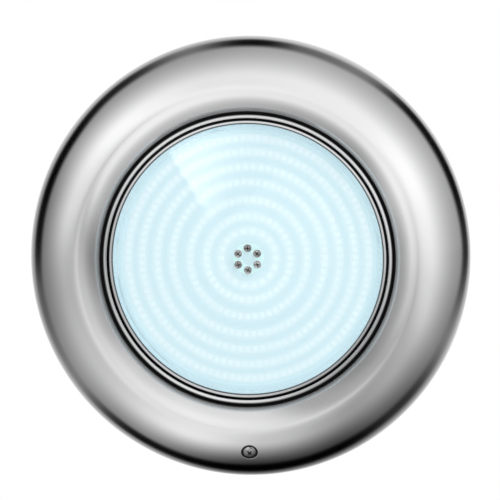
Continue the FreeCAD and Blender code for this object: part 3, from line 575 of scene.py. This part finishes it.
def face_ring():
    """The spun ring, with its quads turned into a round hole where the lock screw passes."""
    section, outside, inside = ring_section()
    segments, half_width, half_length = 480, 6, 8
    bottom = segments * 3 // 4
    vertices = []
    for radius, height in section:
        vertices += [on_lamp_axis(radius, height, math.tau * k / segments)
                     for k in range(segments)]
    hole_radius = math.hypot(*hole_place())
    rows = {}
    for start, name in ((outside, "outer"), (inside, "inner")):
        span = range(start, start + FLANK_STEPS)
        rows[name] = min(span, key=lambda row: abs(section[row][0] - hole_radius))
    faces = []
    for row in range(len(section)):
        after = (row + 1) % len(section)
        for k in range(segments):
            window = abs(k + 0.5 - bottom) < half_width
            if window and any(abs(row + 0.5 - middle) < half_length for middle in rows.values()):
                continue
            follower = (k + 1) % segments
            faces.append([row * segments + k, row * segments + follower,
                          after * segments + follower, after * segments + k])
    rims = []
    for name, shrink, lip in (("outer", 0.0, HOLE_LIP), ("inner", GAUGE, 0.0)):
        middle = rows[name]
        corners = window_border(middle, bottom, half_length, half_width, segments)
        rims.append(patch(vertices, faces, corners, HOLE + lip, shrink))
    wall(vertices, faces, rims[0], rims[1])
    used = sorted({corner for face in faces for corner in face})
    renamed = {old: new for new, old in enumerate(used)}
    piece = new_mesh("face_ring_spun", [vertices[old] for old in used],
                     [[renamed[corner] for corner in face] for face in faces], 50)
    return wear(piece, "lamp_unit", "face_ring", MATERIALS["polished_steel"])


def hole_place():
    """Where the lock screw's axis comes through the dome: across and up in the wall's plane."""
    point = SCREW_FOOT + SCREW_OUT * SCREW_SURFACE
    return point.x, point.z


def window_border(middle, bottom, half_length, half_width, segments):
    """Indices of the grid's vertices round the square window, in order."""
    def at(row, k):
        return row * segments + k % segments
    low, high = middle - half_length, middle + half_length
    left, right = bottom - half_width, bottom + half_width
    border = [at(low, k) for k in range(left, right)]
    border += [at(row, right) for row in range(low, high)]
    border += [at(high, k) for k in range(right, left, -1)]
    border += [at(row, left) for row in range(high, low, -1)]
    return border


def patch(vertices, faces, border, radius, shrink, steps=7):
    """Fills the window down to a round hole, with every new vertex on the flank's surface."""
    places = []
    for index in border:
        away = vertices[index] - SCREW_FOOT
        places.append((away.dot(SCREW_ACROSS), away.dot(SCREW_UP)))
    last = border
    for step in range(1, steps + 1):
        share = 1 - (1 - step / steps) ** 1.5
        loop = []
        for across, above in places:
            reach = math.hypot(across, above)
            scale = 1 - share * (1 - radius / reach)
            loop.append(len(vertices))
            vertices.append(onto_flank(across * scale, above * scale, shrink))
        faces += strips(last, loop)
        last = loop
    return last


def strips(first, second):
    """Quads between two loops of as many vertices."""
    count = len(first)
    return [[first[k], first[(k + 1) % count], second[(k + 1) % count], second[k]]
            for k in range(count)]


def wall(vertices, faces, outer, inner):
    """Rolls the outer rim of the hole in over its small lip and joins it to the inner rim."""
    previous = outer
    for angle in (30, 60, 90):
        drop = HOLE_LIP * (1 - math.cos(math.radians(angle)))
        inward = HOLE_LIP * math.sin(math.radians(angle))
        loop = []
        for index in outer:
            away = vertices[index] - SCREW_FOOT
            flat = away - SCREW_OUT * away.dot(SCREW_OUT)
            loop.append(len(vertices))
            vertices.append(vertices[index] - flat.normalized() * inward - SCREW_OUT * drop)
        faces += strips(previous, loop)
        previous = loop
    faces += strips(previous, inner)


# ---------------------------------------------------------------- lock screw and its cup
def cross_cutter(name, place, radius, depth, top, turn=0.0):
    """A tapered cross, for the drive recess of a screw."""
    arm, half = radius, 0.19 * radius
    outline = [(arm, half), (half, half), (half, arm), (-half, arm), (-half, half),
               (-arm, half), (-arm, -half), (-half, -half), (-half, -arm), (half, -arm),
               (half, -half), (arm, -half)]
    vertices = []
    for height, scale in ((top, 1.0), (top - depth, 0.45)):
        for across, along in outline:
            reach = math.hypot(across, along) * scale
            angle = math.atan2(along, across) + turn
            vertices.append(place(reach, height, angle))
    count = len(outline)
    faces = [list(range(count)), list(range(2 * count - 1, count - 1, -1))]
    faces += strips(list(range(count)), list(range(count, 2 * count)))
    return new_mesh(name, vertices, faces)


def lock_screw():
    """Domed head with a cross recess, plain shank, and a real thread at the end."""
    crown, plain = HEAD_TOP - HEAD_EDGE, THREAD_END + THREAD_RUNOUT
    section = [(0, HEAD_TOP)]
    section += arc((0, HEAD_TOP - crown), (HEAD, crown), 90, 8, 20)[1:]
    section += [(HEAD, HEAD_TOP - crown), (HEAD, HEAD_SEAT + 0.15 * MM),
                (HEAD - 0.15 * MM, HEAD_SEAT), (SHANK, HEAD_SEAT), (SHANK, plain), (0, plain)]
    head = lathe("lock_screw_head", section, 72, on_screw_axis, closed=False)
    subtract(head, cross_cutter("recess", on_screw_axis, 2.5 * MM, 1.9 * MM,
                                HEAD_TOP + 0.4 * MM, math.radians(45)))
    crisp(head.data)
    piece = join("lock_screw_turned", [head, screw_thread()])
    return wear(piece, "lock_screw", "lock_screw", MATERIALS["screw_steel"])


def screw_thread():
    """A helical thread of the screw's pitch, from its tip up to the end of the threaded part."""
    around, per_turn, top = 40, 8, THREAD_END + THREAD_RUNOUT
    rows = int((top - TIP) / THREAD_PITCH * per_turn)
    vertices = [on_screw_axis(0, TIP, 0)]
    for row in range(rows + 1):
        height = TIP + (top - TIP) * row / rows
        point = min(1.0, (height - TIP) / (0.8 * MM))
        for k in range(around):
            turn = height / THREAD_PITCH - k / around
            groove = 0.45 * MM * abs(2 * (turn % 1.0) - 1)
            fade = min(1.0, max(0.0, (THREAD_END - height) / THREAD_PITCH))
            radius = (SHANK - groove * fade) * (0.72 + 0.28 * point)
            vertices.append(on_screw_axis(radius, height, math.tau * k / around))
    faces = []
    for row in range(rows):
        here = [1 + row * around + k for k in range(around)]
        there = [1 + (row + 1) * around + k for k in range(around)]
        faces += strips(here, there)
    faces += [[0, 1 + (k + 1) % around, 1 + k] for k in range(around)]
    faces.append([1 + rows * around + k for k in range(around)])
    return new_mesh("thread", vertices, faces, 60)


def screw_ferrule():
    """The cup in the dome that the lock screw's head sits in."""
    bore, outer, floor = 2.75 * MM, 5.35 * MM, 45 * MM
    section = [(bore, floor), (outer - 0.2 * MM, floor), (outer, floor + 0.2 * MM),
               (outer, 49.2 * MM), (outer - 0.15 * MM, 49.4 * MM), (outer - 0.4 * MM, 49.3 * MM),
               (outer - 0.4 * MM, floor + 1.7 * MM), (outer - 0.7 * MM, floor + 1.4 * MM),
               (bore, floor + 1.4 * MM)]
    piece = lathe("screw_ferrule_turned", section, 72, on_screw_axis)
    # the cup is near black: painted shade of the gap round the lock screw's head
    return wear(piece, "lamp_unit", "screw_ferrule", MATERIALS["dark_steel"])


# ---------------------------------------------------------------- window trim and screws
TRIM_SEGMENTS = 360


def turned_from_box(name, node, chamfer, material):
    """A plain rectangular ring turned again from a node's box, with chamfered corners."""
    low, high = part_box(node)
    inner = inner_radius(node)
    outer, back, front = high.x, -high.y, -low.y
    section = [(inner, back), (outer, back), (outer, front - chamfer),
               (outer - chamfer, front), (inner + chamfer, front), (inner, front - chamfer)]
    piece = lathe(name, section, TRIM_SEGMENTS)
    return wear(piece, "lamp_unit", node, material)


def inner_radius(node):
    """Radius of a node's bore round the lamp's axis."""
    return min(math.hypot(v.co.x, v.co.z) for v in frame["nodes"][node].data.vertices)


def clamp_ring():
    """Thin steel ring between the bead and the window, with its flange under the bead."""
    low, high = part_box("lens_clamp_ring")
    front, back, flange = -low.y, -high.y, high.x
    lip, bore, outer = inner_radius("lens_clamp_ring"), 90.9 * MM, 91.8 * MM
    sheet, edge = 1.1 * MM, 0.35 * MM
    seal_top = -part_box("lens_seal")[0].y
    section = [(lip, seal_top), (bore, seal_top), (bore, back), (flange, back),
               (flange, back + sheet), (outer, back + sheet)]
    section += arc((outer - edge, front - edge), (edge, edge), 0, 90, 6)
    section += arc((lip + edge, front - edge), (edge, edge), 90, 180, 6)
    piece = lathe("lens_clamp_ring_turned", section, TRIM_SEGMENTS)
    return wear(piece, "lamp_unit", "lens_clamp_ring", trim_steel())


def pan_screws(node, name, slot, head, height, shank):
    """Pan head screws with cross recesses, one on each solid of a CAD group that faces -Y."""
    low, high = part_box(node)
    seat = -low.y - height
    heads = []
    for number, (across, up) in enumerate(screw_places(node)):
        def place(radius, out, angle, across=across, up=up):
            return Vector((across + radius * math.cos(angle), -out,
                           up + radius * math.sin(angle)))
        top = -low.y
        section = [(0, top)]
        section += arc((0, top - height * 0.62), (head, height * 0.62), 90, 0, 12)[1:]
        section += [(head, seat + 0.1 * MM), (head - 0.1 * MM, seat), (shank, seat),
                    (shank, -high.y), (0, -high.y)]
        screw = lathe(f"{name}_{number}", section, 40, place, closed=False)
        subtract(screw, cross_cutter("recess", place, 0.66 * head, 0.8 * height,
                                     top + 0.02 * MM, math.radians(17 + 41 * number)))
        crisp(screw.data)
        heads.append(screw)
    piece = join(name, heads)
    return wear(piece, "lamp_unit", node, MATERIALS[slot])


def screw_places(node):
    """Axes of a group's screws, from the middle of each loose part of its mesh."""
    mesh = frame["nodes"][node].data
    parts = bmesh.new()
    parts.from_mesh(mesh)
    bmesh.ops.remove_doubles(parts, verts=parts.verts, dist=1e-5)
    left, places = set(parts.verts), []
    while left:
        island, edge = set(), [left.pop()]
        while edge:
            vertex = edge.pop()
            island.add(vertex)
            for link in vertex.link_edges:
                other = link.other_vert(vertex)
                if other in left:
                    left.discard(other)
                    edge.append(other)
        xs, zs = [v.co.x for v in island], [v.co.z for v in island]
        places.append(((min(xs) + max(xs)) / 2, (min(zs) + max(zs)) / 2))
    parts.free()
    return sorted(places, key=lambda p: math.atan2(p[1], p[0]))


def led_chips(number):
    """Detailed packages for one ring of chips: chamfered body, round well, phosphor dome."""
    node = f"led_ring_{number}"
    low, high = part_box(node)
    foot, top, around = -high.y, -low.y, 16
    half = (CHIP_LENGTH / 2, CHIP_WIDTH / 2)
    well = 0.74 * half[1]
    loops = [(None, foot, 0.0), (None, top - 0.12 * MM, 0.0), (None, top, 0.12 * MM),
             (well, top, 0.0), (0.9 * well, top - 0.22 * MM, 0.0),
             (0.5 * well, top - 0.14 * MM, 0.0)]
    vertices, faces = [], []
    for across, up in screw_places(node):
        turn, start = math.atan2(up, across), len(vertices)
        for radius, height, inset in loops:
            for k in range(around):
                angle = math.tau * (k + 0.5) / around
                if radius is None:
                    reach = min((half[0] - inset) / abs(math.cos(angle)),
                                (half[1] - inset) / abs(math.sin(angle)))
                else:
                    reach = radius
                vertices.append(Vector((across + reach * math.cos(angle + turn), -height,
                                        up + reach * math.sin(angle + turn))))
        vertices.append(Vector((across, -(top - 0.1 * MM), up)))
        rows = [range(start + row * around, start + (row + 1) * around)
                for row in range(len(loops))]
        for here, there in zip(rows, rows[1:]):
            faces += strips(list(here), list(there))
        last = rows[-1]
        faces += [[last[k], last[(k + 1) % around], len(vertices) - 1] for k in range(around)]
        faces.append(list(reversed(rows[0])))
    piece = new_mesh(f"led_packages_{number}", vertices, faces)
    return wear(piece, "lamp_unit", node, MATERIALS["led_chip"])


def reflector_rim():
    """Moulded white cone round the board's edge, from the chips up to the cover."""
    inner, board, cover = 82.2 * MM, -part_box("led_board")[0].y, -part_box("front_cover")[1].y
    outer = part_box("led_board")[1].x + 0.35 * MM
    foot, top = board + 0.02 * MM, cover - 0.1 * MM
    section = [(inner, foot), (inner + 0.5 * MM, foot), (outer, foot), (outer, top),
               (outer - 0.3 * MM, top)]
    section += arc((inner, cover + 0.4 * MM), (2.1 * MM, 3.3 * MM), -15, -85, 10)
    piece = lathe("reflector_rim", section, 240)
    # painted glow of the chips' light on the rim
    glow = lit_plastic("lit_rim", (0.3, 0.36, 0.38), (0.46, 0.58, 0.62), 1.0)
    piece.data.materials.append(glow)
    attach(piece, "lamp_unit")
    return piece


# ---------------------------------------------------------------- what the frame keeps
def dress_frame():
    """Gives every CAD node the material of its slot, or its own from SPECIAL."""
    for entry in frame["record"]["subparts"]:
        node = frame["nodes"][entry["node"]]
        node.data.materials.clear()
        special = SPECIAL.get(entry["node"])
        node.data.materials.append(special or MATERIALS[entry["material_slot"]])


# ---------------------------------------------------------------- studio
# Tables round the lamp, from its right and anticlockwise as seen from ahead: (degrees, value).
# SKY, SIDES, ZENITH, FUNNEL_TOP and FUNNEL_FOOT hold display brightness from 0 to 1. BAND_HEIGHT
# is where the tent's dark band lies, in degrees off the lamp's axis, and BAND_DEPTH its darkness.
SKY = [(0, 0.92), (25, 1.0), (55, 0.93), (105, 0.89), (140, 0.99), (165, 0.86), (190, 0.67),
       (215, 0.74), (250, 0.91), (272, 0.75), (300, 0.58), (320, 0.65), (345, 0.83), (360, 0.91)]
SIDES = [(0, 0.58), (30, 0.63), (70, 0.63), (110, 0.55), (145, 0.51), (170, 0.37), (190, 0.41),
         (215, 0.50), (235, 0.40), (270, 0.05), (290, 0.12), (310, 0.27), (335, 0.46), (360, 0.55)]
BAND_HEIGHT = [(0, 121), (40, 120), (65, 116), (90, 117.5), (130, 115), (150, 111), (180, 109),
               (235, 108), (270, 109), (300, 107), (330, 110), (360, 121)]
BAND_DEPTH = [(0, 0.7), (20, 0.95), (40, 0.85), (58, 0.3), (75, 0.4), (90, 0.95), (108, 0.25),
              (130, 0.75), (155, 1.0), (175, 0.8), (192, 0.2), (215, 0.1), (240, 0.8),
              (268, 0.93), (290, 0.8), (312, 0.4), (335, 0.05), (360, 0.7)]
GROUND = 0.95
ZENITH = [(0, 0.89), (22, 0.95), (68, 0.92), (135, 0.93), (158, 0.87), (180, 0.68), (202, 0.78),
          (225, 0.87), (248, 0.93), (270, 0.80), (292, 0.60), (315, 0.62), (338, 0.785),
          (360, 0.89)]
FUNNEL_TOP = [(0, 0.87), (22, 0.94), (45, 0.89), (90, 0.90), (112, 0.92), (135, 0.94),
              (158, 0.90), (180, 0.64), (202, 0.76), (225, 0.86), (248, 0.93), (270, 0.88),
              (292, 0.63), (315, 0.61), (338, 0.76), (360, 0.87)]
FUNNEL_FOOT = [(0, 0.60), (22, 0.68), (45, 0.59), (68, 0.625), (90, 0.67), (112, 0.70),
               (135, 0.70), (158, 0.66), (180, 0.50), (202, 0.64), (225, 0.77), (248, 0.84),
               (270, 0.84), (292, 0.63), (315, 0.53), (338, 0.57), (360, 0.60)]
# the funnel's wall, from its foot to its top: (radius, height) in millimetres
FUNNEL_PROFILE = [(88, 38.5), (75, 46), (65, 60), (58, 90), (54, 140), (51, 200), (50, 240)]
# where one table gives way to the next: degrees off the lamp's axis, degrees past the band, and
# metres out of the wall
ZENITH_BLEND, SIDES_BLEND, GROUND_BLEND, BAND_EDGE = (13, 30), (50, 118), (-4, 40), (3, 12)
FUNNEL_BLEND = (0.036, 0.118)
SOFT_LIGHT, BACKDROP = 0.85, 1.0
# the glare card: strength, radius of its outer edge, height, and the angle where it ends
GLARE, GLARE_RADIUS, GLARE_HEIGHT, GLARE_END = 7.0, 88 * MM, 36 * MM, 62
TENT_RADIUS = 0.26
TENT_MIDDLE = Vector((0, -0.03, 0))


def only_reflected(piece, material):
    """Makes a stage piece that nothing but reflections can see."""
    for ray in ("camera", "diffuse", "transmission", "volume_scatter", "shadow"):
        setattr(piece, "visible_" + ray, False)
    piece.data.materials.append(material)


def light_only(piece, name, receivers):
    """Links a stage piece's light to the given pieces alone."""
    linked = bpy.data.collections.new(name)
    for receiver in receivers:
        linked.objects.link(receiver)
    piece.light_linking.receiver_collection = linked


def tent():
    """Light tent round everything: a sphere whose glow changes with direction."""
    mesh = bpy.data.meshes.new("tent")
    shell = bmesh.new()
    bmesh.ops.create_uvsphere(shell, u_segments=64, v_segments=48, radius=TENT_RADIUS)
    shell.to_mesh(mesh)
    shell.free()
    mesh.shade_smooth()
    piece = bpy.data.objects.new("tent", mesh)
    piece.location = TENT_MIDDLE
    bpy.context.scene.collection.objects.link(piece)
    only_reflected(piece, tent_glow())


def sides_of(graph):
    """Object coordinates as a share of a turn round the lamp and the height out of the wall."""
    place = graph.add("ShaderNodeTexCoord").outputs["Object"]
    across, ahead, up = graph.add("ShaderNodeSeparateXYZ", Vector=place).outputs
    turn = graph.math("DIVIDE", graph.math("ARCTAN2", up, across), math.tau)
    return graph.math("FRACT", graph.math("ADD", turn, 1.0)), graph.math("MULTIPLY", ahead, -1.0)


def round_curve(graph, turn, stops, top=1.0):
    """A curve through (degrees, value) stops, for values from 0 to top."""
    node = graph.add("ShaderNodeValToRGB", Fac=turn)
    node.color_ramp.interpolation = "EASE"
    points = node.color_ramp.elements
    while len(points) < len(stops):
        points.new(0.5)
    for point, (angle, value) in zip(points, stops):
        point.position = angle / 360
    for point, (angle, value) in zip(points, stops):
        point.color = colour(value / top, value / top, value / top)
    return graph.math("MULTIPLY", node.outputs["Color"], top)


def end_glow(graph, shade):
    """Turns a display shade into light, a little stronger than the steel gives back."""
    light = graph.math("MULTIPLY", graph.math("POWER", shade, 2.2), 1.15)
    lamp = graph.add("ShaderNodeEmission", Strength=light)
    graph.add("ShaderNodeOutputMaterial", Surface=lamp.outputs[0])


def tent_glow():
    """Bright sky ahead of the lamp, dimmer sides, a dark band behind them and a light ground."""
    material, graph = new_material("tent_glow")
    turn, ahead = sides_of(graph)
    off = graph.math("DEGREES", graph.math("ARCCOSINE", graph.math("DIVIDE", ahead, TENT_RADIUS)))
    sky, sides = round_curve(graph, turn, SKY), round_curve(graph, turn, SIDES)
    sky = mixed(graph, graph.ramp(off, *ZENITH_BLEND), round_curve(graph, turn, ZENITH), sky)
    shade = mixed(graph, graph.ramp(off, *SIDES_BLEND), sky, sides)
    past = graph.math("SUBTRACT", off, round_curve(graph, turn, BAND_HEIGHT, 180))
    shade = mixed(graph, graph.ramp(past, *GROUND_BLEND), shade, GROUND)
    band = graph.ramp(graph.math("ABSOLUTE", past), *BAND_EDGE, 1.0, 0.0)
    band = graph.math("MULTIPLY", band, round_curve(graph, turn, BAND_DEPTH))
    end_glow(graph, graph.math("MULTIPLY", shade, graph.math("SUBTRACT", 1.0, band)))
    return material


def mixed(graph, factor, first, second):
    """Plain blend of two numbers."""
    node = graph.add("ShaderNodeMix")
    graph.feed(node, "i0", factor)
    graph.feed(node, "i2", first)
    graph.feed(node, "i3", second)
    return node.outputs[0]


def funnel(receivers):
    """Funnel of light in front of the window that only the given pieces reflect."""
    section = [(radius * MM, height * MM) for radius, height in FUNNEL_PROFILE]
    piece = lathe("funnel", section + section[::-1], 96)
    material, graph = new_material("funnel_glow")
    turn, ahead = sides_of(graph)
    shade = mixed(graph, graph.ramp(ahead, *FUNNEL_BLEND),
                  round_curve(graph, turn, FUNNEL_FOOT), round_curve(graph, turn, FUNNEL_TOP))
    end_glow(graph, shade)
    only_reflected(piece, material)
    light_only(piece, "lit_by_funnel", receivers)


def glare():
    """Hard-edged fan of light just over the window, which only the clear cover reflects."""
    apex, tip = Vector((-20, 0, 19)) * MM, Vector((-51.5, 0, 71.5)) * MM
    edge = math.degrees(math.atan2(tip.z - apex.z, tip.x - apex.x))
    corners, steps = [Vector((apex.x, -GLARE_HEIGHT, apex.z))], 24
    first = math.degrees(math.atan2(tip.z, tip.x))
    for step in range(steps + 1):
        angle = math.radians(first + (GLARE_END - first) * step / steps)
        corners.append(on_lamp_axis(GLARE_RADIUS, GLARE_HEIGHT, angle))
    piece = new_mesh("glare", corners, [[0, k, k + 1] for k in range(1, steps + 1)])
    material, graph = new_material("glare_glow")
    place = graph.add("ShaderNodeTexCoord").outputs["Object"]
    away = graph.add("ShaderNodeVectorMath", {"operation": "SUBTRACT"}, i0=place,
                     i1=(apex.x, 0, apex.z)).outputs[0]
    across, _, up = graph.add("ShaderNodeSeparateXYZ", Vector=away).outputs
    angle = graph.math("DEGREES", graph.math("ARCTAN2", up, across))
    far = graph.math("SQRT", graph.math("ADD", graph.math("MULTIPLY", across, across),
                                        graph.math("MULTIPLY", up, up)))
    light = graph.math("MULTIPLY", graph.ramp(angle, 60, edge, 0.0, 1.0),
                       graph.ramp(far, 0.0, 30 * MM, 0.0, GLARE))
    lamp = graph.add("ShaderNodeEmission", Strength=light)
    graph.add("ShaderNodeOutputMaterial", Surface=lamp.outputs[0])
    only_reflected(piece, material)
    light_only(piece, "lit_by_glare", [frame["nodes"]["front_cover"]])


def world():
    """White behind the object, and an even soft light on it."""
    scene = bpy.context.scene
    scene.world = bpy.data.worlds.new("studio")
    scene.world.use_nodes = True
    graph = Graph(scene.world.node_tree)
    path = graph.add("ShaderNodeLightPath")
    soft = graph.add("ShaderNodeBackground", Color=colour(1, 1, 1), Strength=SOFT_LIGHT)
    seen = graph.add("ShaderNodeBackground", Color=colour(1, 1, 1), Strength=BACKDROP)
    both = graph.add("ShaderNodeMixShader")
    graph.feed(both, "i0", path.outputs["Is Camera Ray"])
    graph.feed(both, "i1", soft.outputs[0])
    graph.feed(both, "i2", seen.outputs[0])
    graph.add("ShaderNodeOutputWorld", Surface=both.outputs[0])


def area_light(name, place, aim, width, watts):
    """Soft round lamp that reflections and the camera don't see."""
    lamp = bpy.data.lights.new(name, "AREA")
    lamp.shape = "DISK"
    lamp.size = width
    lamp.energy = watts
    piece = bpy.data.objects.new(name, lamp)
    piece.location = place
    piece.rotation_euler = (aim - place).to_track_quat("-Z", "Y").to_euler()
    piece.visible_camera = False
    piece.visible_glossy = False
    bpy.context.scene.collection.objects.link(piece)


def floor():
    """Plain pale floor under the light."""
    top, half = -0.34, 0.9
    piece = new_mesh("floor", [(-half, -half, top), (half, -half, top), (half, half, top),
                               (-half, half, top)], [[0, 1, 2, 3]])
    material, graph = new_material("floor_paint")
    place = graph.add("ShaderNodeTexCoord").outputs["Object"]
    cloud = noise(graph, place, 6, 2)
    finish_material(graph, graph.mix(cloud, colour(0.80, 0.80, 0.80), colour(0.84, 0.84, 0.84)),
                    0.8)
    piece.data.materials.append(material)


def camera():
    """Long lens a little right of and above the lamp's axis."""
    distance, side, above = 8.0, math.radians(3.65), math.radians(4.4)
    shown, film = 0.3297, 36                     # width in view in metres, film in millimetres
    off_middle, tilt = Vector((-0.0004, 0, 0.0036)), math.radians(-0.87)
    lens = bpy.data.cameras.new("camera")
    lens.sensor_width = film
    lens.lens = film * distance / shown
    lens.dof.use_dof = False
    lens.clip_start, lens.clip_end = 0.05, 50
    piece = bpy.data.objects.new("camera", lens)
    back = Vector((math.sin(side) * math.cos(above), -math.cos(side) * math.cos(above),
                   math.sin(above)))
    aim = Vector((0, -RIM_HEIGHT, 0)) + off_middle
    piece.location = aim + back * distance
    piece.rotation_mode = "QUATERNION"
    roll = Quaternion((0, 0, 1), tilt)
    piece.rotation_quaternion = (-back).to_track_quat("-Z", "Y") @ roll
    bpy.context.scene.collection.objects.link(piece)
    bpy.context.scene.camera = piece
    bpy.context.scene.view_settings.view_transform = "Standard"


camera()
world()
floor()
tent()
area_light("key", Vector((0.9, -0.9, 1.1)), Vector((0, -0.03, 0)), 0.5, 12)
dress_frame()
for ring in range(1, 8):
    led_chips(ring)
reflector_rim()
glare()
screw_ferrule()
lock_screw()
turned_from_box("lens_seal_turned", "lens_seal", 0.15 * MM,
                moulded("grey_rubber", (0.10, 0.11, 0.11), 0.5, 1500, 0.1))
funnel([face_ring(), clamp_ring(),
        pan_screws("centre_screws", "centre_screws_pan", "screw_steel", 2.62 * MM, 1.9 * MM,
                   1.5 * MM)])
